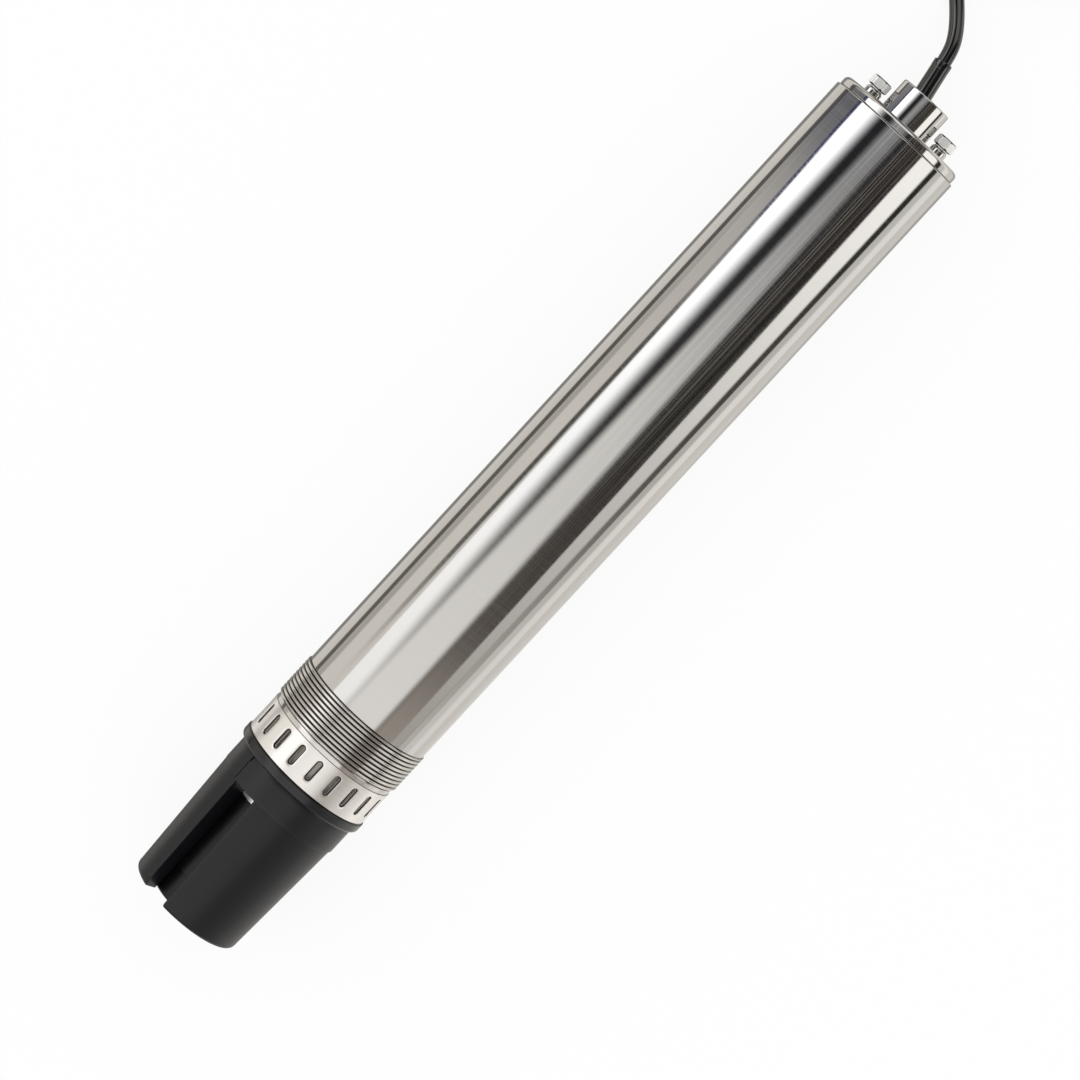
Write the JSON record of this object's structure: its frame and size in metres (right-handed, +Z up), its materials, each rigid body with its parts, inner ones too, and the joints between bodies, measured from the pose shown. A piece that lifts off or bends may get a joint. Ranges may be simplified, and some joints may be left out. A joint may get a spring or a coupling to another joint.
{
  "type": "borehole submersible pump",
  "caption": "Slim stainless borehole pump: slotted inlet strainer, impeller stages and canned motor in one long tube, threaded outlet, check valve, black foot with a level sensor.",
  "frame": {"origin": "under the middle of the pump, on the surface that it lies on", "axes": "+X along the shaft from the black foot towards the outlet, +Z up, +Y across, to the left when looking at the outlet end from the foot"},
  "size_m": [0.9354, 0.1528, 0.1],
  "materials": {
    "tube_steel": "polished stainless steel with fine marks round it",
    "cap_steel": "polished stainless steel",
    "bolt_steel": "plain stainless steel",
    "thread_steel": "machined stainless steel",
    "strainer_steel": "satin stainless steel",
    "foot_black": "satin black moulding",
    "collar_black": "satin black moulding",
    "sleeve_black": "matt black sleeve",
    "sensor_steel": "bright stainless steel",
    "cup_dark": "dark moulding",
    "stage_steel": "pressed stainless steel",
    "stage_resin": "filled resin",
    "bracket_iron": "machined casting",
    "motor_steel": "satin stainless steel",
    "lamination_steel": "stacked laminations",
    "winding_copper": "varnished copper wire",
    "shaft_steel": "ground stainless steel",
    "bush_bronze": "sintered bronze",
    "thrust_carbon": "carbon",
    "seal_ceramic": "ceramic",
    "seal_rubber": "moulded rubber",
    "plate_aluminium": "machined",
    "valve_brass": "machined brass",
    "guide_resin": "moulded resin",
    "spring_steel": "drawn wire",
    "plug_black": "black rubber",
    "gland_steel": "plain stainless steel",
    "boot_rubber": "moulded rubber",
    "cord_rubber": "smooth rubber jacket",
    "core_insulation": "insulated cores"
  },
  "bodies": {
    "pump": {"outer_tube": "tube_steel", "top_cap": "cap_steel", "outlet_socket": "cap_steel", "bolt_posts": "cap_steel", "cap_bolts": "bolt_steel", "filler_plug": "plug_black", "threaded_ring": "thread_steel", "strainer_ring": "strainer_steel", "inlet_cup": "cup_dark", "foot_housing": "foot_black", "collar_front": "collar_black", "collar_rear": "collar_black", "sensor_can": "sensor_steel", "sensor_sleeve": "sleeve_black", "sensor_plug": "sleeve_black", "stage_case_1": "stage_steel", "stage_case_2": "stage_steel", "stage_case_3": "stage_steel", "diffuser_1": "stage_resin", "diffuser_2": "stage_resin", "diffuser_3": "stage_resin", "motor_bracket": "bracket_iron", "seal_seat": "seal_ceramic", "lower_bush": "bush_bronze", "upper_bush": "bush_bronze", "thrust_pad": "thrust_carbon", "motor_can": "motor_steel", "motor_lid": "motor_steel", "stator_core": "lamination_steel", "stator_windings": "winding_copper", "upper_plate": "plate_aluminium", "run_capacitor": "plate_aluminium", "valve_case": "valve_brass", "valve_guide": "guide_resin", "valve_spring": "spring_steel", "lead_conduit": "motor_steel", "cable_gland": "gland_steel", "cable_boot": "boot_rubber", "power_cable": "cord_rubber", "cable_coil": "cord_rubber", "cable_cores": "core_insulation"},
    "rotor": {"shaft": "shaft_steel", "rotor_core": "lamination_steel", "impeller_1": "stage_resin", "impeller_2": "stage_resin", "impeller_3": "stage_resin", "seal_head": "seal_rubber", "thrust_collar": "shaft_steel"},
    "valve": {"valve_poppet": "valve_brass"}
  },
  "joints": [
    {"name": "rotor_spin", "type": "hinge", "parent": "pump", "child": "rotor", "pos_m": [0, 0, 0.05], "axis": [1, 0, 0], "continuous": true},
    {"name": "valve_lift", "type": "slide", "parent": "pump", "child": "valve", "axis": [1, 0, 0], "range_m": [0, 0.006], "stiffness_N_per_m": 300, "springref_m": -0.003, "deforming": ["valve_spring"]}
  ]
}
